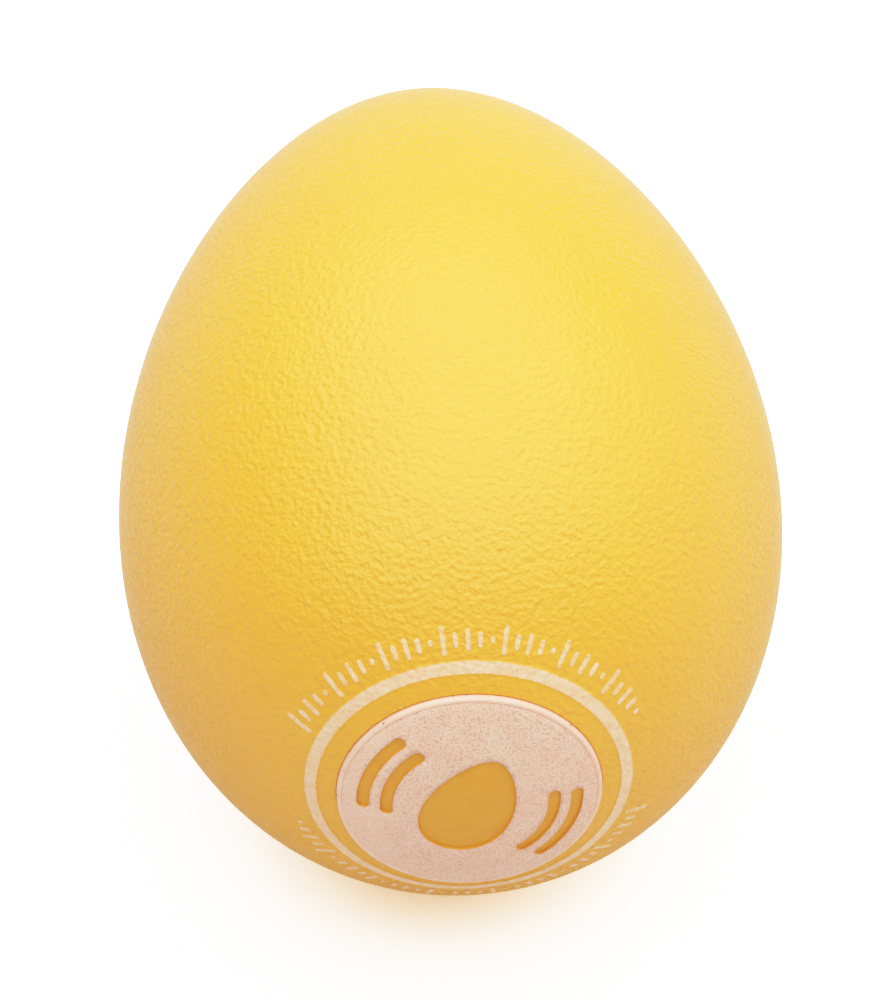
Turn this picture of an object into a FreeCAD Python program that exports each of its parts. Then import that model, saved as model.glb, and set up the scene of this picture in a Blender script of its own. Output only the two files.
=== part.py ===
import FreeCAD, Part

# Egg shaker: a hollow moulded egg, closed by a bonded plug at its blunt end and part filled with loose
# steel shot.  The egg lies on its side: its long axis is Y, the blunt end faces -Y and +Z is up.
#
# Each sub-part is modelled about the egg's own centre, at mid-length on the axis, and its Placement then
# puts it in the part's frame, whose origin is on the ground under the middle of the whole part.

import math
import os

import Sketcher

SIZES = {
    # the egg's outline: two cubic curves that meet at the widest section
    "egg_length": 60.0,
    "egg_diameter": 42.0,
    "widest_offset": 5.14,  # widest section, from mid-length towards the blunt end
    "blunt_fullness": 11.73,  # handle across the axis at the blunt tip
    "blunt_shoulder": 15.27,  # handle along the axis at the widest section, towards the blunt tip
    "point_shoulder": 17.39,  # the same, towards the pointed tip
    "point_fullness": 8.92,  # handle across the axis at the pointed tip
    "wall": 2.0,
    # the slight flat under the belly that the egg rests on
    "rest_flat_depth": 0.12,
    "rest_flat_block": 12.0,
    # the plug and its seat, with depths measured along the axis from the blunt tip
    "plug_diameter": 16.6,
    "plug_proud": 0.15,
    "plug_dome_radius": 21.9,
    "plug_edge_round": 0.35,
    "plug_face_thickness": 1.8,
    "seat_depth": 2.8,
    "spigot_diameter": 12.4,
    "spigot_wall": 1.3,
    "spigot_depth": 7.0,
    "collar_diameter": 16.2,
    "collar_start": 1.8,  # inside the wall, so that collar and wall are one
    "collar_depth": 6.6,
    "glue_gap": 0.05,
    # the sunk mark on the plug: a tilted egg between four arcs
    "mark_depth": 0.15,
    "mark_egg_length": 8.2,
    "mark_tilt": 24.0,
    "mark_arc_radius": 4.9,
    "mark_arc_step": 1.45,
    "mark_arc_width": 0.75,
    "mark_arc_sweep": 64.0,
    "mark_arc_shorter": 0.12,  # how much less of a turn the outer arcs take
    # printing on the shell, around the plug
    "ink_thickness": 0.04,
    "ring_inner_diameter": 19.2,
    "ring_width": 0.7,
    "legend_base_radius": 10.725,
    "legend_tall": 1.44,
    "legend_stroke": 0.3,
    "legend_pitch": 3.95,
    "legend_sweep": 138.3,
    # the shot
    "shot_diameter": 3.0,
    "shot_pitch": 3.05,
    "shot_clearance": 0.2,
    "core_radius": 9.5,
    "heap_top": 9.0,  # how far below the axis the heap's surface lies
    "heap_centre": -9.2,
    "heap_rows": 9,
    "dart_angle": 24.5,
    "hop_start": 6.1,
    "hop_count": 4,
}
BEAT = (1.0, 0.45, 0.7, 0.45, 0.12)  # heights of one group of printed strokes, the last one a dot
OUTLINE_STEPS = 300
STATION_WINDOW = 1.0  # the stretch of wall that limits the radius at one station
RADIUS_TOLERANCE = 1e-4
SAME_PLACE = 1e-6

doc = FreeCAD.newDocument("egg_shaker")
sheet = doc.addObject("Spreadsheet::Sheet", "sizes")
for row, (alias, value) in enumerate(SIZES.items(), start=1):
    sheet.set(f"A{row}", alias)
    sheet.set(f"B{row}", str(value))
    sheet.setAlias(f"B{row}", alias)
doc.recompute()

sub_parts = []


def size(alias):
    """The sheet's value for one alias."""
    return float(sheet.get(alias))


def number(text):
    """The value of an expression written in terms of the sheet."""
    return float(sheet.evalExpression(text))


# ---------------------------------------------------------------- sketches and bodies


def new_sketch(body, name):
    """An empty sketch on the body's own XY plane, whose vertical axis is the egg's axis."""
    sketch = body.newObject("Sketcher::SketchObject", name)
    plane = next(item for item in body.Origin.OriginFeatures if item.Role == "XY_Plane")
    sketch.AttachmentSupport = [(plane, "")]
    sketch.MapMode = "FlatFace"
    return sketch


def pin(sketch, geometry, point, across, along):
    """Holds one point of the sketch at two distances from the origin, each bound to an expression."""
    for kind, text in (("DistanceX", across), ("DistanceY", along)):
        value = number(text)
        if value < 0:
            ends = (geometry, point, -1, 1)
            text = f"-({text})"
        else:
            ends = (-1, 1, geometry, point)
        index = sketch.addConstraint(Sketcher.Constraint(kind, *ends, abs(value)))
        sketch.setExpression(f"Constraints[{index}]", text)


def polygon(sketch, corners):
    """A closed outline of straight lines through corners given as pairs of expressions."""
    places = [FreeCAD.Vector(number(across), number(along), 0) for across, along in corners]
    count = len(places)
    lines = [
        sketch.addGeometry(Part.LineSegment(places[i], places[(i + 1) % count]))
        for i in range(count)
    ]
    for i, line in enumerate(lines):
        sketch.addConstraint(Sketcher.Constraint("Coincident", line, 2, lines[(i + 1) % count], 1))
        pin(sketch, line, 1, *corners[i])


def bezier(poles):
    """A cubic curve on four poles."""
    curve = Part.BSplineCurve()
    curve.buildFromPolesMultsKnots(poles, [4, 4], [0, 1], False, 3)
    return curve


def egg_poles(inset):
    """The poles of the outline's blunt and pointed halves, as pairs of expressions, inset from the skin."""
    radius = f"(sizes.egg_diameter / 2 - {inset})"
    reach = f"(sizes.egg_length / 2 - {inset})"
    across = f"{radius} / (sizes.egg_diameter / 2)"
    along = f"{reach} / (sizes.egg_length / 2)"
    blunt = [
        ("0", f"-{reach}"),
        (f"sizes.blunt_fullness * {across}", f"-{reach}"),
        (radius, f"-sizes.widest_offset - sizes.blunt_shoulder * {along}"),
        (radius, "-sizes.widest_offset"),
    ]
    pointed = [
        (radius, "-sizes.widest_offset"),
        (radius, f"-sizes.widest_offset + sizes.point_shoulder * {along}"),
        (f"sizes.point_fullness * {across}", reach),
        ("0", reach),
    ]
    return blunt, pointed


def egg_outline(sketch, inset):
    """Half of an egg's section, closed along the axis."""
    halves = []
    for poles in egg_poles(inset):
        places = [FreeCAD.Vector(number(across), number(along), 0) for across, along in poles]
        curve = sketch.addGeometry(bezier(places))
        handle = sketch.GeometryCount
        sketch.exposeInternalGeometry(curve)
        for offset, pole in enumerate(poles):
            pin(sketch, handle + offset, 3, *pole)
        halves.append((curve, places))
    top = halves[1][1][-1]
    bottom = halves[0][1][0]
    axis = sketch.addGeometry(Part.LineSegment(top, bottom))
    sketch.addConstraint(Sketcher.Constraint("Coincident", halves[1][0], 2, axis, 1))
    sketch.addConstraint(Sketcher.Constraint("Coincident", axis, 2, halves[0][0], 1))


def revolve(body, kind, sketch):
    """Turns a sketch once around the egg's axis, adding or cutting, and checks that the volume changed."""
    before = body.Shape.Volume if not body.Shape.isNull() else 0.0
    turned = body.newObject(kind, f"{sketch.Name}_turned")
    turned.Profile = sketch
    turned.ReferenceAxis = (sketch, ["V_Axis"])
    turned.Angle = 360
    doc.recompute()
    change = body.Shape.Volume - before
    if (kind == "PartDesign::Groove") != (change < 0) or change == 0:
        raise RuntimeError(f"{turned.Name} changed the volume by {change:.3f} mm3")
    return turned


def egg_body(name, inset):
    """A solid egg."""
    body = doc.addObject("PartDesign::Body", name)
    sketch = new_sketch(body, f"{name}_outline")
    egg_outline(sketch, inset)
    revolve(body, "PartDesign::Revolution", sketch)
    return body


def place(item, label):
    """Names a finished sub-part and moves it from the egg's own centre into the part's frame."""
    item.Label = label
    item.Placement = FreeCAD.Placement()
    item.setExpression(".Placement.Base.y", "sizes.plug_proud / 2")
    item.setExpression(".Placement.Base.z", "sizes.egg_diameter / 2 - sizes.rest_flat_depth")
    sub_parts.append(item)
    return item


# ---------------------------------------------------------------- Part primitives and booleans


def boolean(kind, name, base, tool):
    """A Part::Cut or Part::Common of two objects."""
    item = doc.addObject(kind, name)
    item.Base = base
    item.Tool = tool
    return item


def axial_cylinder(name, radius, start, height):
    """A cylinder on the egg's axis, from start along +Y, with its sizes bound to expressions."""
    item = doc.addObject("Part::Cylinder", name)
    item.Placement = FreeCAD.Placement(FreeCAD.Vector(), FreeCAD.Rotation(FreeCAD.Vector(1, 0, 0), -90))
    item.setExpression("Radius", radius)
    item.setExpression("Height", height)
    item.setExpression(".Placement.Base.y", start)
    return item


def rest_flat_block():
    """A block whose top takes the slight flat off the underside of the belly."""
    block = doc.addObject("Part::Box", "rest_flat_block")
    for side in ("Length", "Width", "Height"):
        block.setExpression(side, "sizes.rest_flat_block")
    block.setExpression(".Placement.Base.x", "-sizes.rest_flat_block / 2")
    block.setExpression(".Placement.Base.y", "-sizes.widest_offset - sizes.rest_flat_block / 2")
    block.setExpression(
        ".Placement.Base.z", "-sizes.egg_diameter / 2 + sizes.rest_flat_depth - sizes.rest_flat_block"
    )
    return block


def feature(name, shape):
    """A Part::Feature that holds a shape made from the sheet's values."""
    item = doc.addObject("Part::Feature", name)
    item.Shape = shape
    return item


def front_point(radius, angle, along=0.0):
    """A point at a radius from the axis and an angle from +Z, clockwise as seen from the blunt end."""
    turn = math.radians(angle)
    return FreeCAD.Vector(radius * math.sin(turn), along, radius * math.cos(turn))


# ---------------------------------------------------------------- moulded pieces


def shell():
    """The one-piece shell, with a collar inside the blunt end, the stepped seat and the rest flat."""
    body = egg_body("shell_body", "0")
    cavity = new_sketch(body, "cavity")
    egg_outline(cavity, "sizes.wall")
    revolve(body, "PartDesign::Groove", cavity)

    tip = "-sizes.egg_length / 2"
    collar = new_sketch(body, "collar")
    polygon(
        collar,
        [
            ("sizes.spigot_diameter / 2 - sizes.glue_gap", f"{tip} + sizes.collar_start"),
            ("sizes.collar_diameter / 2", f"{tip} + sizes.collar_start"),
            ("sizes.collar_diameter / 2", f"{tip} + sizes.collar_depth"),
            ("sizes.spigot_diameter / 2 - sizes.glue_gap", f"{tip} + sizes.collar_depth"),
        ],
    )
    revolve(body, "PartDesign::Revolution", collar)

    seat = new_sketch(body, "seat")
    recess = "sizes.plug_diameter / 2 + sizes.glue_gap"
    bore = "sizes.spigot_diameter / 2 + sizes.glue_gap"
    polygon(
        seat,
        [
            ("0", f"{tip} - sizes.wall"),
            (recess, f"{tip} - sizes.wall"),
            (recess, f"{tip} + sizes.seat_depth"),
            (bore, f"{tip} + sizes.seat_depth"),
            (bore, f"{tip} + sizes.collar_depth + sizes.wall"),
            ("0", f"{tip} + sizes.collar_depth + sizes.wall"),
        ],
    )
    revolve(body, "PartDesign::Groove", seat)
    return place(boolean("Part::Cut", "flattened_shell", body, rest_flat_block()), "shell")


def plug_blank(name, grow):
    """The plug before its mark is sunk: a domed head with a rounded edge and a hollow spigot."""
    body = doc.addObject("PartDesign::Body", name)
    sketch = new_sketch(body, f"{name}_section")
    tip = "-sizes.egg_length / 2"
    head = f"(sizes.plug_diameter / 2 + {grow})"
    dome = f"(sizes.plug_dome_radius + {grow})"
    crown = f"{tip} - sizes.plug_proud - {grow}"
    rim = f"{crown} + {dome} - sqrt({dome} ^ 2 - {head} ^ 2)"
    spigot = "sizes.spigot_diameter / 2"
    hollow = f"{spigot} - sizes.spigot_wall"
    ceiling = f"{tip} - sizes.plug_proud + sizes.plug_face_thickness"
    corners = [
        (head, rim),
        (head, f"{tip} + sizes.seat_depth"),
        (spigot, f"{tip} + sizes.seat_depth"),
        (spigot, f"{tip} + sizes.spigot_depth"),
        (hollow, f"{tip} + sizes.spigot_depth"),
        (hollow, ceiling),
        ("0", ceiling),
        ("0", crown),
    ]
    places = [FreeCAD.Vector(number(across), number(along), 0) for across, along in corners]
    lines = []
    for i, corner in enumerate(corners[:-1]):
        line = sketch.addGeometry(Part.LineSegment(places[i], places[i + 1]))
        if lines:
            sketch.addConstraint(Sketcher.Constraint("Coincident", lines[-1], 2, line, 1))
        pin(sketch, line, 1, *corner)
        lines.append(line)
    pin(sketch, lines[-1], 2, *corners[-1])
    radius = number(dome)
    centre = FreeCAD.Vector(0, number(crown) + radius, 0)
    half_angle = math.asin(number(head) / radius)
    circle = Part.Circle(centre, FreeCAD.Vector(0, 0, 1), radius)
    arc = sketch.addGeometry(Part.ArcOfCircle(circle, -math.pi / 2, -math.pi / 2 + half_angle))
    sketch.addConstraint(Sketcher.Constraint("Coincident", lines[-1], 2, arc, 1))
    sketch.addConstraint(Sketcher.Constraint("Coincident", arc, 2, lines[0], 1))
    index = sketch.addConstraint(Sketcher.Constraint("Radius", arc, radius))
    sketch.setExpression(f"Constraints[{index}]", dome)
    turned = revolve(body, "PartDesign::Revolution", sketch)

    rim_edges = [
        f"Edge{i}"
        for i, edge in enumerate(turned.Shape.Edges, start=1)
        if edge.BoundBox.YLength < SAME_PLACE and abs(edge.BoundBox.YMin - number(rim)) < SAME_PLACE
    ]
    rounding = body.newObject("PartDesign::Fillet", f"{name}_edge")
    rounding.Base = (turned, rim_edges)
    rounding.setExpression("Radius", f"sizes.plug_edge_round + {grow}")
    doc.recompute()
    return body


def dome_body(name, grow):
    """A ball with the plug's dome radius, whose skin lies on the plug's face or a set depth from it."""
    item = doc.addObject("Part::Sphere", name)
    item.setExpression("Radius", f"sizes.plug_dome_radius + {grow}")
    item.setExpression(
        ".Placement.Base.y", "sizes.plug_dome_radius - sizes.plug_proud - sizes.egg_length / 2"
    )
    return item


def mark_prisms():
    """The mark's outline, cut along the axis: a tilted egg and two arcs on each side of it."""
    scale = size("mark_egg_length") / size("egg_length")
    tilt = FreeCAD.Rotation(FreeCAD.Vector(0, 1, 0), size("mark_tilt"))
    start = -size("egg_length")
    through = FreeCAD.Vector(0, size("egg_length"), 0)

    def flat(across, along):
        point = tilt.multVec(FreeCAD.Vector(across * scale, 0, along * scale))
        return FreeCAD.Vector(point.x, start, point.z)

    edges = []
    for side in (1, -1):
        for poles in egg_poles("0"):
            places = [flat(side * number(across), number(along)) for across, along in poles]
            edges.append(bezier(places).toShape())
    egg = Part.Face(Part.Wire(Part.__sortEdges__(edges)))
    prisms = [egg.extrude(through)]

    for side in (90, 270):
        middle = side + size("mark_tilt")
        for step in range(2):
            inner = size("mark_arc_radius") + step * size("mark_arc_step")
            outer = inner + size("mark_arc_width")
            sweep = size("mark_arc_sweep") * (1 - size("mark_arc_shorter") * step)
            prisms.append(sector(inner, outer, middle - sweep / 2, middle + sweep / 2, start, through))
    return Part.makeCompound(prisms)


def sector(inner, outer, first, last, start, through):
    """A band between two radii and two angles around the axis, extruded along it."""
    middle = (first + last) / 2
    outside = Part.Arc(
        front_point(outer, first, start), front_point(outer, middle, start), front_point(outer, last, start)
    ).toShape()
    inside = Part.Arc(
        front_point(inner, last, start), front_point(inner, middle, start), front_point(inner, first, start)
    ).toShape()
    ends = [
        Part.makeLine(front_point(outer, last, start), front_point(inner, last, start)),
        Part.makeLine(front_point(inner, first, start), front_point(outer, first, start)),
    ]
    return Part.Face(Part.Wire([outside, ends[0], inside, ends[1]])).extrude(through)


def end_plug(blank, mark):
    """The plug with its mark sunk to one depth below the domed face."""
    floor = dome_body("mark_floor", "(0 - sizes.mark_depth)")
    tool = boolean("Part::Cut", "mark_tool", mark, floor)
    return place(boolean("Part::Cut", "end_plug_cut", blank, tool), "end_plug")


# ---------------------------------------------------------------- printing


def print_disc(blank, mark):
    """The film of ink on the plug's face and rounded edge, open over the mark."""
    grown = plug_blank("plug_ink_form", "sizes.ink_thickness")
    film = boolean("Part::Cut", "plug_film", grown, blank)
    zone = axial_cylinder(
        "plug_film_zone",
        "sizes.plug_diameter",
        "-sizes.egg_length",
        "sizes.egg_length / 2 + sizes.plug_dome_radius - sizes.plug_proud"
        " - sqrt(sizes.plug_dome_radius ^ 2 - (sizes.plug_diameter / 2) ^ 2) + sizes.plug_edge_round / 2",
    )
    face = boolean("Part::Common", "plug_face_film", film, zone)
    return place(boolean("Part::Cut", "print_disc_cut", face, mark), "print_disc")


def ink_skin():
    """A film of ink over the whole egg, from which the shell's prints are cut."""
    form = egg_body("egg_form", "0")
    grown = egg_body("ink_form", "(0 - sizes.ink_thickness)")
    return boolean("Part::Cut", "ink_skin", grown, form)


def print_ring(skin):
    """The printed ring around the plug."""
    inner = axial_cylinder(
        "ring_inner", "sizes.ring_inner_diameter / 2", "-sizes.egg_length", "sizes.egg_length"
    )
    outer = axial_cylinder(
        "ring_outer",
        "sizes.ring_inner_diameter / 2 + sizes.ring_width",
        "-sizes.egg_length",
        "sizes.egg_length",
    )
    stencil = boolean("Part::Cut", "ring_stencil", outer, inner)
    return place(boolean("Part::Common", "print_ring_common", skin, stencil), "print_ring")


def legend_strokes(middle):
    """Upright strokes of several heights in groups, each ended by a dot, along an arc around the plug."""
    base = size("legend_base_radius")
    start = -size("egg_length")
    through = FreeCAD.Vector(0, size("egg_length"), 0)
    half_stroke = math.degrees(size("legend_stroke") / 2 / base)
    count = int(size("legend_sweep") / size("legend_pitch"))
    middle_radius = base + size("legend_tall") / 2
    strokes = []
    for i in range(count):
        angle = middle + (i - (count - 1) / 2) * size("legend_pitch")
        reach = size("legend_tall") * BEAT[i % len(BEAT)] / 2 + size("legend_stroke") / 4
        inner = middle_radius - reach
        outer = middle_radius + reach
        strokes.append(sector(inner, outer, angle - half_stroke, angle + half_stroke, start, through))
    return Part.makeCompound(strokes)


def print_legend(skin, label, middle):
    """One arc of printed strokes, above or below the plug."""
    stencil = feature(f"{label}_stencil", legend_strokes(middle))
    return place(boolean("Part::Common", f"{label}_common", skin, stencil), label)


# ---------------------------------------------------------------- shot


def cavity_points():
    """Points along the cavity's outline, as (radius, station) pairs."""
    points = []
    for poles in egg_poles("sizes.wall"):
        curve = bezier([FreeCAD.Vector(number(a), number(b), 0) for a, b in poles])
        for i in range(OUTLINE_STEPS + 1):
            point = curve.value(i / OUTLINE_STEPS)
            points.append((point.x, point.y))
    return points


WALL_POINTS = cavity_points()


def seat_radius(station):
    """How far from the axis a shot can lie at one station, just clear of the cavity's wall."""
    room = size("shot_diameter") / 2 + size("shot_clearance")
    low = 0.0
    high = size("egg_diameter") / 2
    while high - low > RADIUS_TOLERANCE:
        middle = (low + high) / 2
        inside = middle < min(r for r, y in WALL_POINTS if abs(y - station) < STATION_WINDOW)
        clear = min(math.hypot(r - middle, y - station) for r, y in WALL_POINTS) > room
        if inside and clear:
            low = middle
        else:
            high = middle
    return low


def ball(centre):
    """One shot."""
    return Part.makeSphere(size("shot_diameter") / 2, centre)


def heap_row(station):
    """The shot of one station of the heap: curved layers on the cavity's floor, up to the heap's top."""
    pitch = size("shot_pitch")
    lowest_layer = size("core_radius") + size("shot_diameter") / 2
    radius = seat_radius(station)
    balls = []
    while radius >= lowest_layer:
        step = math.degrees(pitch / radius)
        count = int(math.degrees(math.acos(size("heap_top") / radius)) / step)
        for i in range(-count, count + 1):
            balls.append(ball(front_point(radius, 180 + i * step, station)))
        radius -= pitch
    return balls


def shot():
    """The heap's rows, two single shot on top of it and a few beyond its end."""
    rows = int(size("heap_rows"))
    for i in range(rows):
        station = size("heap_centre") + (i - (rows - 1) / 2) * size("shot_pitch")
        item = feature(f"shot_row_{i + 1:02d}_balls", Part.makeCompound(heap_row(station)))
        place(item, f"shot_row_{i + 1:02d}")
    top = size("core_radius") - size("shot_diameter") / 2 - (size("shot_pitch") - size("shot_diameter"))
    for name, side in (("left", 1), ("right", -1)):
        centre = front_point(top, 180 + side * size("dart_angle"), size("heap_centre"))
        place(feature(f"shot_dart_{name}_ball", ball(centre)), f"shot_dart_{name}")
    for i in range(int(size("hop_count"))):
        station = size("hop_start") + i * size("shot_pitch")
        centre = front_point(seat_radius(station), 180, station)
        place(feature(f"shot_hop_{i + 1}_ball", ball(centre)), f"shot_hop_{i + 1}")


# ---------------------------------------------------------------- build, check and write

mark = feature("mark", mark_prisms())
blank = plug_blank("plug_blank", "0")
skin = ink_skin()
shell()
end_plug(blank, mark)
print_disc(blank, mark)
print_ring(skin)
print_legend(skin, "print_legend_upper", 0)
print_legend(skin, "print_legend_lower", 180)
shot()
doc.recompute()

for item in doc.Objects:
    if "Invalid" in item.State or "Error" in item.State:
        raise RuntimeError(f"{item.Label} did not build: {item.State}")
for item in sub_parts:
    if item.Shape.isNull() or not item.Shape.isValid() or not item.Shape.Solids:
        raise RuntimeError(f"{item.Label} has no valid solid")

os.makedirs("parts", exist_ok=True)
for item in sub_parts:
    item.Shape.exportStep(f"parts/{item.Label}.step")
    box = item.Shape.BoundBox
    print(
        f"{item.Label:20s} solids {len(item.Shape.Solids):3d}  volume {item.Shape.Volume:9.2f}"
        f"  X {box.XMin:7.2f} {box.XMax:6.2f}  Y {box.YMin:7.2f} {box.YMax:6.2f}"
        f"  Z {box.ZMin:6.2f} {box.ZMax:6.2f}"
    )
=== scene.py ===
import math

import bmesh
import bpy
import numpy as np
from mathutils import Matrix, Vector, geometry, noise


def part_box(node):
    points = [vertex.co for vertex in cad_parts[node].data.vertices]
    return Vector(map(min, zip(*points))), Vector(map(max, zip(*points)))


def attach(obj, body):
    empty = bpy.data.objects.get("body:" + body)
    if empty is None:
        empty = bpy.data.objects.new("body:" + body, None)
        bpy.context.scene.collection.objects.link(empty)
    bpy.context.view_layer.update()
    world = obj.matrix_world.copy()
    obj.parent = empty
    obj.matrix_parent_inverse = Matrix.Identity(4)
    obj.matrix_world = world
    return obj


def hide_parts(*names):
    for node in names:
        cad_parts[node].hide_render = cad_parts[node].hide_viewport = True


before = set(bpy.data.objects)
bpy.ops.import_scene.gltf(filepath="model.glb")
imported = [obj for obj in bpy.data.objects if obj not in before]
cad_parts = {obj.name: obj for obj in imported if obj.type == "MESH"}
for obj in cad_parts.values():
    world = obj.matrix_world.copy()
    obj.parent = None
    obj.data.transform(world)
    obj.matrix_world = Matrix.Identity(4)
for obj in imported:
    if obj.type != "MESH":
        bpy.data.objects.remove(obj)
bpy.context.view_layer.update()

MM = 0.001

# ---------------------------------------------------------------- the frame's sizes
# The shell's box gives the egg's width, its axis and its pointed tip. The outline's own proportions
# give the rest.

shell_low, shell_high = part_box("shell")
EGG_RADIUS = (shell_high.x - shell_low.x) / 2
AXIS_HEIGHT = shell_high.z - EGG_RADIUS
LENGTH_OVER_WIDTH = 60 / 42
EGG_LENGTH = 2 * EGG_RADIUS * LENGTH_OVER_WIDTH
POINT_TIP = shell_high.y
BLUNT_TIP = POINT_TIP - EGG_LENGTH
MIDDLE = (POINT_TIP + BLUNT_TIP) / 2
WIDEST = MIDDLE - 5.14 * MM

# The shell. The first four are the handles of the outline's two curves.
BLUNT_FULLNESS = 11.73 * MM
BLUNT_SHOULDER = 15.27 * MM
POINT_SHOULDER = 17.39 * MM
POINT_FULLNESS = 8.92 * MM
WALL = 2.0 * MM

# The plug, its seat and its collar.
PLUG_RADIUS = 8.3 * MM
PLUG_PROUD = 0.15 * MM
PLUG_DOME = 21.9 * MM
PLUG_FACE = 1.8 * MM
SEAT = BLUNT_TIP + 2.8 * MM
SPIGOT_RADIUS = 6.2 * MM
SPIGOT_WALL = 1.3 * MM
SPIGOT_END = BLUNT_TIP + 7.0 * MM
COLLAR_RADIUS = 8.1 * MM
COLLAR_END = BLUNT_TIP + 6.6 * MM
GLUE_GAP = 0.05 * MM
CROWN = BLUNT_TIP - PLUG_PROUD

# The mark sunk in the plug's face: a tilted egg between two pairs of arcs.
MARK_DEPTH = 0.15 * MM
MARK_EGG_LENGTH = 8.2 * MM
MARK_TILT = math.radians(24)
MARK_ARC_RADIUS = 4.9 * MM
MARK_ARC_STEP = 1.45 * MM
MARK_ARC_WIDTH = 0.75 * MM
MARK_ARC_SWEEP = math.radians(64)
MARK_ARC_SHORTER = 0.12
MARK_EDGE = 0.025 * MM

# Finer detail than the CAD's: the edge of the shell's opening, the ripple in its skin, and the groove
# and the bead round the plug's face. BEAD_START is in degrees.
RIM_ROUND = 0.08 * MM
RIPPLE_LENGTH = 1.6 * MM
RIPPLE_HEIGHT = 0.008 * MM
RIPPLED_RINGS = 180

FACE_SPACING = 0.4 * MM
BEAD = 0.16 * MM
BEAD_START = -138
BEAD_STEPS = 12
GROOVE = 0.03 * MM
GROOVE_WIDTH = 0.07 * MM
FACE_RADIUS = PLUG_RADIUS - 2 * BEAD - 0.04 * MM
VISIBLE_GAP = 0.015 * MM

# The printing. INK is the film's thickness on the plug, and PRINT is how far it stands off the shell.
INK = 0.04 * MM
INK_SKIRT = 0.02 * MM
PRINT = 0.025 * MM
RAGGED = 0.05 * MM
RING_RADIUS = 9.6 * MM
RING_WIDTH = 0.7 * MM
LEGEND_RADIUS = 10.725 * MM
LEGEND_TALL = 1.44 * MM
LEGEND_STROKE = 0.3 * MM
LEGEND_PITCH = math.radians(3.95)
LEGEND_COUNT = 35
BEAT = (1.0, 0.45, 0.7, 0.45, 0.12)

# How finely the meshes are divided.
SIDES = 384
PLUG_SIDES = 256
OUTLINE_STEPS = 600
SKIN_RINGS = 188
CAVITY_RINGS = 54
MARK_EGG_STEPS = 71
MARK_ARC_STEPS = 40
MARK_END_STEPS = 12
STROKE_STEPS = 18
SHARP = math.radians(38)
SAME_PLACE = 2e-7


# ---------------------------------------------------------------- the egg's outline


def cubic(poles, t):
    """Points of a cubic curve on four poles, as an array of (radius, station) rows."""
    t = np.asarray(t, float)[:, None]
    p = np.array(poles, float)
    return (1 - t) ** 3 * p[0] + 3 * (1 - t) ** 2 * t * p[1] + 3 * (1 - t) * t**2 * p[2] + t**3 * p[3]


def outline(steps, inset=0.0):
    """The egg's half section from the blunt tip to the pointed tip, inset from the skin."""
    radius = EGG_RADIUS - inset
    across = radius / EGG_RADIUS
    along = (EGG_LENGTH / 2 - inset) / (EGG_LENGTH / 2)
    blunt = [
        (0, BLUNT_TIP + inset),
        (BLUNT_FULLNESS * across, BLUNT_TIP + inset),
        (radius, WIDEST - BLUNT_SHOULDER * along),
        (radius, WIDEST),
    ]
    pointed = [
        (radius, WIDEST),
        (radius, WIDEST + POINT_SHOULDER * along),
        (POINT_FULLNESS * across, POINT_TIP - inset),
        (0, POINT_TIP - inset),
    ]
    t = np.linspace(0, 1, steps)
    return np.vstack([cubic(blunt, t), cubic(pointed, t)[1:]])


def even(points, count):
    """The same line as points, resampled at even distances."""
    points = np.asarray(points, float)
    reach = np.concatenate([[0], np.cumsum(np.linalg.norm(np.diff(points, axis=0), axis=1))])
    at = np.linspace(0, reach[-1], count)
    return np.column_stack([np.interp(at, reach, points[:, k]) for k in range(2)])


def blunt_station(radius, grow=0.0):
    """The station of the egg's blunt end at a radius, on a skin grown outwards."""
    line = outline(400, -grow)
    line = line[: np.argmax(line[:, 0]) + 1]
    return np.interp(radius, line[:, 0], line[:, 1])


def dome_station(radius):
    """The station of the plug's domed face at a radius."""
    return CROWN + PLUG_DOME - np.sqrt(PLUG_DOME**2 - radius**2)


# ---------------------------------------------------------------- meshes


def around(radius, angle, station):
    """A point at a radius, an angle from +Z clockwise as seen from the blunt end, and a station."""
    return (radius * math.sin(angle), station, AXIS_HEIGHT + radius * math.cos(angle))


def mesh_object(name, points, faces, body="egg", toward=None):
    """A smooth-shaded mesh piece with sharp corners, which rides on a body.

    A closed surface's faces point outwards. An open one's point along toward.
    """
    mesh = bpy.data.meshes.new(name)
    mesh.from_pydata([tuple(p) for p in points], [], faces)
    work = bmesh.new()
    work.from_mesh(mesh)
    bmesh.ops.remove_doubles(work, verts=work.verts, dist=SAME_PLACE)
    bmesh.ops.recalc_face_normals(work, faces=work.faces)
    if toward is not None and sum(f.normal.dot(toward) * f.calc_area() for f in work.faces) < 0:
        bmesh.ops.reverse_faces(work, faces=work.faces)
    work.to_mesh(mesh)
    work.free()
    mesh.shade_smooth()
    mesh.set_sharp_from_angle(angle=SHARP)
    piece = bpy.data.objects.new(name, mesh)
    bpy.context.scene.collection.objects.link(piece)
    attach(piece, body)
    return piece


def turned(profile, sides=SIDES, closed=False):
    """Points and faces of a profile turned once around the axis. A radius of 0 makes a pole."""
    points = []
    rings = []
    for radius, station in profile:
        if radius < 1e-9:
            rings.append([len(points)] * sides)
            points.append(around(0, 0, station))
        else:
            rings.append(list(range(len(points), len(points) + sides)))
            points.extend(around(radius, 2 * math.pi * k / sides, station) for k in range(sides))
    faces = []
    count = len(rings)
    for i in range(count if closed else count - 1):
        a, b = rings[i], rings[(i + 1) % count]
        for k in range(sides):
            n = (k + 1) % sides
            corners = [a[k], a[n], b[n], b[k]]
            face = [c for j, c in enumerate(corners) if c != corners[j - 1]]
            if len(face) > 2:
                faces.append(face)
    return points, faces


def corner_arc(centre, radius, first, last, steps):
    """Points of an arc in the section plane, from first to last in degrees, 0 outwards and 90 along +Y."""
    angles = np.radians(np.linspace(first, last, steps))
    return [(centre[0] + radius * math.cos(a), centre[1] + radius * math.sin(a)) for a in angles]


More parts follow.
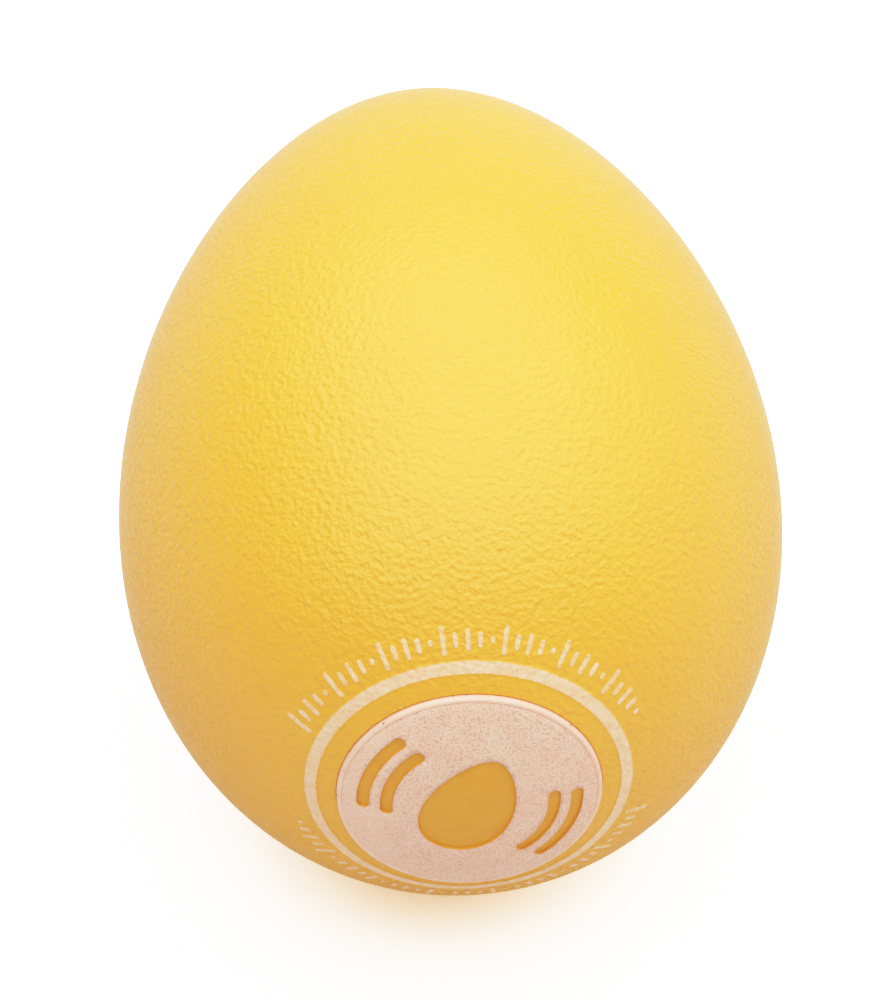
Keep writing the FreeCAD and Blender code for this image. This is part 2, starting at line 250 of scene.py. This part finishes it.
def build_shell():
    """The shell as one closed surface: skin, rest flat, plug seat, bore, collar and cavity wall."""
    recess = PLUG_RADIUS + VISIBLE_GAP
    bore = SPIGOT_RADIUS + GLUE_GAP
    outer = [p for p in outline(OUTLINE_STEPS) if p[1] > WIDEST or p[0] > recess + RIM_ROUND]
    foot = (recess + RIM_ROUND, float(blunt_station(recess + RIM_ROUND)))
    skin = even([foot, *outer], SKIN_RINGS)[::-1]
    inner = outline(OUTLINE_STEPS, WALL)
    blunt = inner[:OUTLINE_STEPS]
    hollow = [p for p in inner if p[1] > WIDEST or p[0] > COLLAR_RADIUS]
    collar_foot = float(np.interp(COLLAR_RADIUS, blunt[:, 0], blunt[:, 1]))
    cavity = even([(COLLAR_RADIUS, collar_foot), *hollow], CAVITY_RINGS)
    profile = [
        *skin,
        (recess + 0.3 * RIM_ROUND, foot[1] + 0.25 * RIM_ROUND),
        (recess, foot[1] + RIM_ROUND),
        (recess, SEAT),
        (bore, SEAT),
        (bore, COLLAR_END),
        (COLLAR_RADIUS, COLLAR_END),
        *cavity,
    ]
    profile[0] = (0.0, POINT_TIP)
    profile[-1] = (0.0, POINT_TIP - WALL)
    points, faces = turned(profile)
    ripple = []
    centre = Vector((0, MIDDLE, AXIS_HEIGHT))
    for i, point in enumerate(points):
        place = Vector(point)
        if 0 < i < RIPPLED_RINGS * SIDES:
            height = noise.noise(place / RIPPLE_LENGTH) * RIPPLE_HEIGHT
            place -= (place - centre).normalized() * abs(height)
        ripple.append(Vector((place.x, place.y, max(place.z, 0))))
    shell = mesh_object("shell_skin", ripple, faces)
    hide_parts("shell")
    return shell


# ---------------------------------------------------------------- the sunk mark


def polar(radius, angle):
    """An (X, Z) pair about the axis, at an angle from +Z clockwise as seen from the blunt end."""
    return np.array([radius * math.sin(angle), radius * math.cos(angle)])


def mark_egg(grow):
    """The mark's tilted egg, grown all round, as a loop of (X, Z) pairs."""
    half = even(outline(200), MARK_EGG_STEPS) - (0, MIDDLE)
    loop = np.vstack([half, half[-2:0:-1] * (-1, 1)]) * MARK_EGG_LENGTH / EGG_LENGTH
    along = np.roll(loop, -1, axis=0) - np.roll(loop, 1, axis=0)
    out = np.column_stack([along[:, 1], -along[:, 0]])
    loop = loop + grow * out / np.linalg.norm(out, axis=1)[:, None]
    cosine, sine = math.cos(MARK_TILT), math.sin(MARK_TILT)
    return np.column_stack([loop[:, 0] * cosine + loop[:, 1] * sine, loop[:, 1] * cosine - loop[:, 0] * sine])


def mark_arc(inner, middle, sweep, grow):
    """One of the mark's arcs, with round ends, grown all round, as a loop of (X, Z) pairs."""
    spine = inner + MARK_ARC_WIDTH / 2
    half = MARK_ARC_WIDTH / 2 + grow
    reach = sweep / 2 - MARK_ARC_WIDTH / 2 / spine
    angles = np.linspace(middle - reach, middle + reach, MARK_ARC_STEPS)
    loop = [polar(spine + half, angle) for angle in angles]
    for end, turns in ((middle + reach, (0, math.pi)), (middle - reach, (math.pi, 2 * math.pi))):
        outward = polar(1, end)
        onward = np.array([outward[1], -outward[0]])
        for turn in np.linspace(*turns, MARK_END_STEPS)[1:-1]:
            loop.append(polar(spine, end) + half * (math.cos(turn) * outward + math.sin(turn) * onward))
        if end > middle:
            loop.extend(polar(spine - half, angle) for angle in angles[::-1])
    return np.array(loop)


def mark_loops(grow):
    """Every outline of the mark, grown all round."""
    loops = [mark_egg(grow)]
    for side in (1, -1):
        for step in range(2):
            inner = MARK_ARC_RADIUS + step * MARK_ARC_STEP
            sweep = MARK_ARC_SWEEP * (1 - MARK_ARC_SHORTER * step)
            loops.append(mark_arc(inner, side * math.pi / 2 + MARK_TILT, sweep, grow))
    return loops


def distance_to(points, loop):
    """Signed distance from each point to a closed loop, negative inside."""
    best = np.full(len(points), np.inf)
    inside = np.zeros(len(points), bool)
    for a, b in zip(loop, np.roll(loop, -1, axis=0)):
        edge = b - a
        share = np.clip(((points - a) @ edge) / (edge @ edge), 0, 1)
        best = np.minimum(best, np.linalg.norm(points - a - share[:, None] * edge, axis=1))
        if a[1] != b[1]:
            crosses = (a[1] > points[:, 1]) != (b[1] > points[:, 1])
            inside ^= crosses & (points[:, 0] < a[0] + edge[0] * (points[:, 1] - a[1]) / edge[1])
    return np.where(inside, -best, best)


def face_mesh():
    """The plug's round face, with its triangles cut along the mark's outlines.

    It gives the points, each with how far it is sunk, and the triangles. Three outlines make the mark's edge:
    where the face ends, the lip, and the foot of the wall.
    """
    pairs = []
    sunk = []
    edges = []
    for grow, depth in ((MARK_EDGE, 0.0), (0.0, 0.5 * MARK_EDGE), (-MARK_EDGE, MARK_DEPTH)):
        for loop in mark_loops(grow):
            start = len(pairs)
            pairs.extend(loop)
            sunk.extend([depth] * len(loop))
            edges.extend((start + i, start + (i + 1) % len(loop)) for i in range(len(loop)))
    fill = [np.zeros(2)]
    for radius in np.arange(FACE_SPACING, FACE_RADIUS - 0.1 * FACE_SPACING, FACE_SPACING):
        count = round(2 * math.pi * radius / FACE_SPACING)
        fill.extend(polar(radius, 2 * math.pi * (k + 0.5 * (count % 2)) / count) for k in range(count))
    fill = np.array(fill)
    distance = np.min([distance_to(fill, loop) for loop in mark_loops(0.0)], axis=0)
    keep = np.abs(distance) > 0.25 * FACE_SPACING
    pairs.extend(fill[keep])
    sunk.extend(np.where(distance[keep] < 0, MARK_DEPTH, 0.0))
    start = len(pairs)
    pairs.extend(polar(FACE_RADIUS, 2 * math.pi * k / PLUG_SIDES) for k in range(PLUG_SIDES))
    sunk.extend([0.0] * PLUG_SIDES)
    edges.extend((start + k, start + (k + 1) % PLUG_SIDES) for k in range(PLUG_SIDES))

    scaled = [Vector(pair) / MM for pair in pairs]
    found, _, triangles, origins, _, _ = geometry.delaunay_2d_cdt(scaled, edges, [], 0, 1e-5)
    sunk = [sunk[origin[0]] if origin else 0.0 for origin in origins]
    points = [
        (p.x * MM, float(dome_station(p.length * MM)) + depth, p.y * MM + AXIS_HEIGHT)
        for p, depth in zip(found, sunk)
    ]
    return points, sunk, triangles


def rim_profile():
    """The plug's rim in section: a fine groove round the face and a round bead outside it."""
    groove = float(dome_station(FACE_RADIUS)) + GROOVE
    edge = float(dome_station(PLUG_RADIUS - BEAD))
    centre = (PLUG_RADIUS - BEAD, edge - GROOVE + BEAD)
    return [
        (FACE_RADIUS, float(dome_station(FACE_RADIUS))),
        (FACE_RADIUS + GROOVE, groove),
        (FACE_RADIUS + GROOVE_WIDTH, groove),
        *corner_arc(centre, BEAD, BEAD_START, 0, BEAD_STEPS),
    ]


def joined(points, faces, more_points, more_faces):
    """Two sets of points and faces as one."""
    start = len(points)
    return [*points, *more_points], [*faces, *([start + corner for corner in face] for face in more_faces)]


def build_plug():
    """The plug: domed face with the mark sunk in it, beaded rim, flange and hollow spigot."""
    points, _, faces = face_mesh()
    hollow = SPIGOT_RADIUS - SPIGOT_WALL
    profile = [
        *rim_profile(),
        (PLUG_RADIUS, SEAT),
        (SPIGOT_RADIUS, SEAT),
        (SPIGOT_RADIUS, SPIGOT_END),
        (hollow, SPIGOT_END),
        (hollow, CROWN + PLUG_FACE),
        (0.0, CROWN + PLUG_FACE),
    ]
    plug = mesh_object("plug_moulding", *joined(points, faces, *turned(profile, PLUG_SIDES)))
    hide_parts("end_plug")
    return plug


# ---------------------------------------------------------------- printing


def build_disc_print():
    """The film of ink on the plug's face and over its bead, open over the mark."""
    points, sunk, faces = face_mesh()
    faces = [face for face in faces if max(sunk[corner] for corner in face) == 0]
    side = (PLUG_RADIUS, float(blunt_station(PLUG_RADIUS)) + INK_SKIRT)
    rim = turned([*rim_profile(), side], PLUG_SIDES)
    film = mesh_object("disc_ink_film", *joined(points, faces, *rim), toward=Vector((0, -1, 0)))
    solid = film.modifiers.new("thickness", "SOLIDIFY")
    solid.thickness = INK
    solid.offset = 1
    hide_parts("print_disc")
    return film


def build_ring_print():
    """The printed ring, a little wider than its ink, whose ragged edge the material draws."""
    radii = np.linspace(RING_RADIUS - RAGGED, RING_RADIUS + RING_WIDTH + RAGGED, 8)
    top = [(r, float(blunt_station(r, PRINT))) for r in radii]
    foot = [(r, float(blunt_station(r, -PRINT / 2))) for r in (radii[-1] + PRINT, radii[0] - PRINT)]
    ring = mesh_object("ring_ink_film", *turned([*top, *foot], closed=True))
    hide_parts("print_ring")
    return ring


def stroke(points, faces, angle, low, high, width):
    """Adds one printed stroke: a narrow film with round ends, along a radius."""
    start = len(points)
    half = width / 2
    for i in range(STROKE_STEPS):
        share = (1 - math.cos(math.pi * i / (STROKE_STEPS - 1))) / 2
        radius = low - half + (high - low + width) * share
        end_gap = max(low - radius, radius - high, 0)
        reach = math.sqrt(max(half**2 - end_gap**2, (0.08 * half) ** 2)) / radius
        for side, grow in ((-1.1, -PRINT / 2), (-0.9, PRINT), (0.9, PRINT), (1.1, -PRINT / 2)):
            points.append(around(radius, angle + side * reach, float(blunt_station(radius, grow))))
    for i in range(STROKE_STEPS - 1):
        a = start + 4 * i
        faces.extend([[a + k, a + (k + 1) % 4, a + 4 + (k + 1) % 4, a + 4 + k] for k in range(4)])
    faces.append([start + k for k in range(4)])
    faces.append([start + 4 * (STROKE_STEPS - 1) + k for k in range(4)])


def build_legend(name, node, middle):
    """One arc of printed strokes in groups, each group ended by a dot."""
    points = []
    faces = []
    centre_radius = LEGEND_RADIUS + LEGEND_TALL / 2
    for i in range(LEGEND_COUNT):
        angle = middle + (i - (LEGEND_COUNT - 1) / 2) * LEGEND_PITCH
        half = max(LEGEND_TALL * BEAT[i % len(BEAT)] - LEGEND_STROKE / 2, 0.0) / 2
        stroke(points, faces, angle, centre_radius - half, centre_radius + half, LEGEND_STROKE)
    legend = mesh_object(name, points, faces)
    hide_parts(node)
    return legend


# ---------------------------------------------------------------- materials


class Nodes:
    """A material's node tree, with short calls for adding and linking nodes."""

    def __init__(self, name):
        self.material = bpy.data.materials.new(name)
        self.material.use_nodes = True
        self.tree = self.material.node_tree
        self.shader = self.tree.nodes["Principled BSDF"]
        self.place = self.add("ShaderNodeTexCoord").outputs["Object"]

    def add(self, kind, **values):
        """A new node. A value goes to the input or the property of that name."""
        node = self.tree.nodes.new(kind)
        for key, value in values.items():
            label = key.replace("_", " ").title()
            socket = node.inputs.get(key) or node.inputs.get(label)
            if socket is None:
                setattr(node, key, value)
            elif isinstance(value, bpy.types.NodeSocket):
                self.tree.links.new(value, socket)
            else:
                socket.default_value = value
        return node

    def math(self, operation, a, b=None, c=None):
        """A Math node on values or sockets."""
        node = self.tree.nodes.new("ShaderNodeMath")
        node.operation = operation
        for socket, value in zip(node.inputs, (a, b, c)):
            if isinstance(value, bpy.types.NodeSocket):
                self.tree.links.new(value, socket)
            elif value is not None:
                socket.default_value = value
        return node.outputs[0]

    def noise(self, size, detail=2.0, roughness=0.5):
        """Smooth noise, about 0 to 1, with features of that size in metres."""
        values = {"Scale": 1 / size, "Detail": detail, "Roughness": roughness}
        return self.add("ShaderNodeTexNoise", Vector=self.place, **values).outputs[0]

    def cells(self, size, vector=None):
        """Distance from the nearest of many scattered points, in cells of that size in metres."""
        node = self.add("ShaderNodeTexVoronoi", Vector=vector or self.place, Scale=1 / size)
        return node.outputs["Distance"]

    def pebbles(self, size, warp):
        """Rounded grains, 1 at each one's crown, with cells of that size whose shapes are warped."""
        jitter = self.add("ShaderNodeTexNoise", Vector=self.place, Scale=1 / (1.4 * size), Detail=1.0)
        moved = self.add("ShaderNodeVectorMath", operation="MULTIPLY_ADD")
        self.tree.links.new(jitter.outputs["Color"], moved.inputs[0])
        moved.inputs[1].default_value = (warp * size,) * 3
        self.tree.links.new(self.place, moved.inputs[2])
        distance = self.cells(size, moved.outputs[0])
        return self.math("MULTIPLY_ADD", self.math("MULTIPLY", distance, distance), -2.0, 1.0)

    def span(self, value, low, high, to_low=0.0, to_high=1.0):
        """A value's range stretched to another, with soft ends."""
        node = self.tree.nodes.new("ShaderNodeMapRange")
        node.interpolation_type = "SMOOTHSTEP"
        self.tree.links.new(value, node.inputs["Value"])
        for key, number in (("From Min", low), ("From Max", high), ("To Min", to_low), ("To Max", to_high)):
            node.inputs[key].default_value = number
        return node.outputs["Result"]

    def mix(self, share, first, second):
        """A mix of two colours."""
        node = self.tree.nodes.new("ShaderNodeMix")
        node.data_type = "RGBA"
        inputs = [node.inputs[i] for i in (0, 6, 7)]
        for socket, value in zip(inputs, (share, first, second)):
            if isinstance(value, bpy.types.NodeSocket):
                self.tree.links.new(value, socket)
            else:
                socket.default_value = value if socket.type == "VALUE" else (*value, 1.0)
        return node.outputs[2]

    def bump(self, height, depth):
        """A bump of that depth in metres for a height from 0 to 1."""
        node = self.tree.nodes.new("ShaderNodeBump")
        node.inputs["Strength"].default_value = 1.0
        node.inputs["Distance"].default_value = depth
        self.tree.links.new(height, node.inputs["Height"])
        return node.outputs["Normal"]

    def set(self, **values):
        """Constants and links of the shader itself."""
        for key, value in values.items():
            socket = self.shader.inputs[key.replace("_", " ")]
            if isinstance(value, bpy.types.NodeSocket):
                self.tree.links.new(value, socket)
            else:
                socket.default_value = value
        return self.material


def srgb(red, green, blue):
    """A display colour from 0 to 255 as linear light."""
    shares = (red / 255, green / 255, blue / 255)
    return tuple(c / 12.92 if c <= 0.04045 else ((c + 0.055) / 1.055) ** 2.4 for c in shares)


SHELL_COLOURS = ((0.93, 0.435, 0.04), (0.935, 0.447, 0.043))
SHELL_GRAIN = 0.4 * MM
SHELL_GRAIN_DEPTH = 0.15 * MM
SPECK_SPACING = 3.4 * MM
SPECK_COLOUR = srgb(150, 105, 30)

PLUG_COLOURS = ((0.80, 0.35, 0.029), (0.83, 0.38, 0.034))
PLUG_GRAIN = 0.3 * MM
PLUG_GRAIN_DEPTH = 0.006 * MM

DISC_COLOURS = (srgb(255, 211, 185), srgb(254, 203, 175))
DISC_GRAIN = 0.14 * MM
DISC_GRAIN_DEPTH = 0.025 * MM
# The colour of the shade painted into the disc ink between its grains.
DISC_GRAIN_SHADE_COLOUR = srgb(205, 142, 116)
NICK_SPACING = 0.8 * MM
NICK_COLOUR = srgb(120, 75, 35)

LINE_COLOURS = (srgb(255, 217, 181), srgb(252, 205, 167))
LINE_PATCH = 0.22 * MM

STEEL_COLOURS = ((0.56, 0.57, 0.58), (0.66, 0.66, 0.66))
STEEL_SCUFF = 0.25 * MM
STEEL_SCUFF_DEPTH = 0.004 * MM


def shell_plastic(n):
    """The shell's colour, roughness and grained surface, added to a material's nodes."""
    grain = n.noise(SHELL_GRAIN, detail=1.0)
    normal = n.bump(grain, SHELL_GRAIN_DEPTH)
    tone = n.span(n.noise(9 * MM), 0.3, 0.7)
    colour = n.mix(tone, *SHELL_COLOURS)
    specks = n.span(n.cells(SPECK_SPACING), 0.012, 0.024, 1.0, 0.0)
    colour = n.mix(n.math("MULTIPLY", specks, 0.35), colour, SPECK_COLOUR)
    rough = n.span(n.noise(0.8 * MM, detail=1.0), 0.25, 0.75, 0.2, 0.26)
    return colour, rough, normal


def shell_material():
    """Satin yellow plastic with a moulded grain and a few dark specks, less glossy where it turns away."""
    n = Nodes("yellow_grained_plastic")
    colour, rough, normal = shell_plastic(n)
    gloss = n.span(n.add("ShaderNodeLayerWeight").outputs["Facing"], 0.35, 0.8, 0.5, 0.1)
    return n.set(Base_Color=colour, Roughness=rough, Normal=normal, IOR=1.36, Specular_IOR_Level=gloss)


def plug_material():
    """The plug's yellow plastic, smoother and deeper in colour than the shell's."""
    n = Nodes("yellow_plug_plastic")
    normal = n.bump(n.pebbles(PLUG_GRAIN, warp=0.5), PLUG_GRAIN_DEPTH)
    tone = n.span(n.noise(1.2 * MM, detail=3.0), 0.3, 0.7)
    colour = n.mix(tone, *PLUG_COLOURS)
    rough = n.span(n.noise(0.8 * MM), 0.25, 0.75, 0.4, 0.5)
    return n.set(Base_Color=colour, Roughness=rough, Normal=normal, IOR=1.36)


def axis_radius(n):
    """The distance from the egg's axis, in metres, as a socket."""
    part = n.add("ShaderNodeSeparateXYZ")
    n.tree.links.new(n.place, part.inputs[0])
    up = n.math("SUBTRACT", part.outputs["Z"], AXIS_HEIGHT)
    square = n.math("MULTIPLY_ADD", part.outputs["X"], part.outputs["X"], n.math("MULTIPLY", up, up))
    return n.math("SQRT", square)


def disc_ink_material():
    """Matt pad-printed ink on the plug's fine grain, with painted shade between the grains and nicks at the
    edge.

    The grain is fainter towards the left of the face and fades to a fifth over the bead.
    """
    n = Nodes("pink_disc_ink")
    side = n.add("ShaderNodeSeparateXYZ")
    n.tree.links.new(n.place, side.inputs[0])
    wander = n.math("MULTIPLY_ADD", n.noise(2.5 * MM), 6 * MM, side.outputs["X"])
    grained = n.span(wander, -4.5 * MM, 0.5 * MM, 0.6, 1.0)
    bead = n.span(axis_radius(n), FACE_RADIUS, PLUG_RADIUS - 0.12 * MM, 1.0, 0.2)
    grained = n.math("MULTIPLY", grained, bead)
    pebbles = n.pebbles(DISC_GRAIN, warp=0.6)
    height = n.math("MULTIPLY", pebbles, grained)
    normal = n.bump(height, DISC_GRAIN_DEPTH)
    tone = n.span(n.noise(1.6 * MM), 0.3, 0.7)
    colour = n.mix(tone, *DISC_COLOURS)
    # Painted shade: the ink is darkened in the hollows between the grains, where shade would fall among them.
    painted_grain_shade = n.math("MULTIPLY", n.span(pebbles, 0.1, 0.5, 1.0, 0.0), grained)
    colour = n.mix(n.math("MULTIPLY", painted_grain_shade, 0.38), colour, DISC_GRAIN_SHADE_COLOUR)
    edge = n.span(axis_radius(n), PLUG_RADIUS - 0.16 * MM, PLUG_RADIUS - 0.06 * MM)
    nicks = n.math("MULTIPLY", n.span(n.cells(NICK_SPACING), 0.1, 0.16, 0.75, 0.0), edge)
    colour = n.mix(nicks, colour, NICK_COLOUR)
    return n.set(Base_Color=colour, Roughness=0.55, Normal=normal, IOR=1.45)


def line_ink_material():
    """Thin cream ink on the shell's grain, patchy all over, with a ragged edge along the ring."""
    n = Nodes("cream_line_ink")
    plastic, _, normal = shell_plastic(n)
    tone = n.span(n.noise(0.7 * MM), 0.3, 0.7)
    ink = n.mix(tone, *LINE_COLOURS)
    worn = n.noise(LINE_PATCH, detail=3.0, roughness=0.65)
    from_middle = n.math("ABSOLUTE", n.math("SUBTRACT", axis_radius(n), RING_RADIUS + RING_WIDTH / 2))
    beyond = n.math("SUBTRACT", from_middle, RING_WIDTH / 2)
    on_ring = n.math("MULTIPLY_ADD", worn, 0.16 * MM, n.math("SUBTRACT", beyond, 0.07 * MM))
    edge = n.span(on_ring, -0.02 * MM, 0.03 * MM)
    legend = n.math("GREATER_THAN", beyond, 0.4 * MM)
    edge = n.math("MULTIPLY", edge, n.math("SUBTRACT", 1.0, legend))
    patches = n.span(worn, 0.42, 0.62, 0.08, 1.0)
    thin = n.math("MULTIPLY", patches, n.math("MULTIPLY_ADD", legend, 0.3, 0.35))
    bare = n.math("MAXIMUM", edge, thin)
    colour = n.mix(bare, ink, plastic)
    return n.set(Base_Color=colour, Roughness=0.5, Normal=normal, IOR=1.48)


def steel_material():
    """Bright tumbled steel with faint scuffs."""
    n = Nodes("tumbled_steel")
    scuffs = n.noise(STEEL_SCUFF, detail=4.0, roughness=0.65)
    normal = n.bump(scuffs, STEEL_SCUFF_DEPTH)
    colour = n.mix(n.span(scuffs, 0.3, 0.7), *STEEL_COLOURS)
    rough = n.span(scuffs, 0.3, 0.7, 0.16, 0.3)
    return n.set(Base_Color=colour, Roughness=rough, Normal=normal, Metallic=1.0)


def paint(piece, material):
    """Gives a piece its material."""
    piece.data.materials.clear()
    piece.data.materials.append(material)


# ---------------------------------------------------------------- the object

paint(build_shell(), shell_material())
paint(build_plug(), plug_material())
paint(build_disc_print(), disc_ink_material())
line_ink = line_ink_material()
paint(build_ring_print(), line_ink)
paint(build_legend("upper_marks_ink_film", "print_legend_upper", 0.0), line_ink)
paint(build_legend("lower_marks_ink_film", "print_legend_lower", math.pi), line_ink)
steel = steel_material()
for name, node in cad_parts.items():
    if name.startswith("shot_"):
        paint(node, steel)
        node.data.shade_smooth()


# ---------------------------------------------------------------- floor, light and camera

FLOOR_HALF = 3.0
FLOOR_WHITE = 0.58
FLOOR_GLOW = 0.085
FLOOR_GAIN = 2.8

WORLD_SEEN = 4.0
WORLD_LIGHT = 0.1

CAMERA_ELEVATION = math.radians(45.53)
CAMERA_TURN = math.radians(-2.90)
CAMERA_DISTANCE = 1.537
CAMERA_LENS = 871.9
CAMERA_LEFT = 0.69 * MM
CAMERA_DOWN = 2.12 * MM

TONE_KNEE = 0.5
TONE_WHITE = 4.0
TONE_STEPS = (0.04, 0.08, 0.12, 0.125, 0.14, 0.165, 0.19, 0.22, 0.26, 0.3, 0.35, 0.4, 0.48, 0.6, 0.8)


def area_light(name, place, width, depth, radiance, target=None):
    """A soft rectangular light at a place, facing the object or straight down."""
    lamp = bpy.data.lights.new(name, "AREA")
    lamp.shape = "RECTANGLE"
    lamp.size = width
    lamp.size_y = depth
    lamp.energy = 4 * radiance * width * depth
    light = bpy.data.objects.new(name, lamp)
    light.location = place
    if target is not None:
        light.rotation_euler = (Vector(target) - Vector(place)).to_track_quat("-Z", "Y").to_euler()
    bpy.context.scene.collection.objects.link(light)


def toward(azimuth, elevation, distance):
    """A place at a distance from the object, with azimuth 0 in front and 90 at the right."""
    turn, lift = math.radians(azimuth), math.radians(elevation)
    return (
        distance * math.cos(lift) * math.sin(turn),
        -distance * math.cos(lift) * math.cos(turn),
        distance * math.sin(lift) + AXIS_HEIGHT,
    )


def floor_material():
    """Plain white paper, which the camera sees brightly lit.

    Other rays, such as light on its way to the egg, see an ordinary white with a faint glow.
    """
    n = Nodes("white_paper")
    normal = n.bump(n.noise(2 * MM, detail=3.0), 0.02 * MM)
    seen = n.add("ShaderNodeLightPath").outputs["Is Camera Ray"]
    colour = n.mix(seen, (FLOOR_WHITE,) * 3, (FLOOR_GAIN,) * 3)
    glow = n.math("MULTIPLY", n.math("SUBTRACT", 1.0, seen), FLOOR_GLOW)
    n.set(Emission_Strength=glow, Emission_Color=(1.0, 1.0, 1.0, 1.0))
    return n.set(Base_Color=colour, Roughness=0.95, Normal=normal)


def build_floor():
    """A white sheet, far wider than the view."""
    half = FLOOR_HALF
    corners = [(-half, -half, 0), (half, -half, 0), (half, half, 0), (-half, half, 0)]
    mesh = bpy.data.meshes.new("floor")
    mesh.from_pydata(corners, [], [(0, 1, 2, 3)])
    floor = bpy.data.objects.new("floor", mesh)
    floor.data.materials.append(floor_material())
    bpy.context.scene.collection.objects.link(floor)


def build_world():
    """A white surrounding, brighter to the camera than to the object."""
    world = bpy.data.worlds.new("white_surround")
    world.use_nodes = True
    tree = world.node_tree
    background = tree.nodes["Background"]
    background.inputs["Color"].default_value = (1.0, 1.0, 1.0, 1.0)
    path = tree.nodes.new("ShaderNodeLightPath")
    lift = tree.nodes.new("ShaderNodeMath")
    lift.operation = "MULTIPLY_ADD"
    tree.links.new(path.outputs["Is Camera Ray"], lift.inputs[0])
    lift.inputs[1].default_value = WORLD_SEEN - WORLD_LIGHT
    lift.inputs[2].default_value = WORLD_LIGHT
    tree.links.new(lift.outputs[0], background.inputs["Strength"])
    bpy.context.scene.world = world


def build_camera():
    """A long lens at the photograph's angle, aimed so that the egg sits a little above the middle."""
    centre = Vector((0, MIDDLE, AXIS_HEIGHT))
    level = math.cos(CAMERA_ELEVATION)
    away = Vector(
        (level * math.sin(CAMERA_TURN), -level * math.cos(CAMERA_TURN), math.sin(CAMERA_ELEVATION))
    )
    right = Vector((0, 0, 1)).cross(away).normalized()
    up = away.cross(right)
    camera = bpy.data.cameras.new("camera")
    camera.lens = CAMERA_LENS
    camera.clip_end = 10
    holder = bpy.data.objects.new("camera", camera)
    holder.location = centre + away * CAMERA_DISTANCE - right * CAMERA_LEFT - up * CAMERA_DOWN
    holder.rotation_euler = away.to_track_quat("Z", "Y").to_euler()
    bpy.context.scene.collection.objects.link(holder)
    bpy.context.scene.camera = holder


def build_tone():
    """A camera's soft shoulder, per channel: true up to the knee, then levelling off towards white."""
    settings = bpy.context.scene.view_settings
    settings.view_transform = "Standard"
    settings.use_curve_mapping = True
    mapping = settings.curve_mapping
    mapping.white_level = (TONE_WHITE,) * 3
    curve = mapping.curves[3]
    curve.points[0].location = (0, 0)
    curve.points[1].location = (1, 1)
    for share in TONE_STEPS:
        light = share * TONE_WHITE
        shown = light
        if light > TONE_KNEE:
            shown = 1 - (1 - TONE_KNEE) * math.exp(-(light - TONE_KNEE) / (1 - TONE_KNEE))
        curve.points.new(share, shown)
    mapping.update()


build_floor()
build_world()
centre = (0, 0, AXIS_HEIGHT)
area_light("overhead_main", (0.06, 0.19, 0.8), width=1.12, depth=1.42, radiance=1.344)
area_light("overhead_wide", (0.05, 0.35, 0.82), width=2.3, depth=2.0, radiance=0.959)
area_light("right_card", toward(100, 22, 1.2), width=1.3, depth=0.8, radiance=0.78, target=centre)
area_light("back_card", toward(180, 22, 1.5), width=1.6, depth=0.9, radiance=0.449, target=centre)
area_light("front_high", toward(0, 40, 1.5), width=2.4, depth=0.8, radiance=0.671, target=centre)
build_camera()
build_tone()
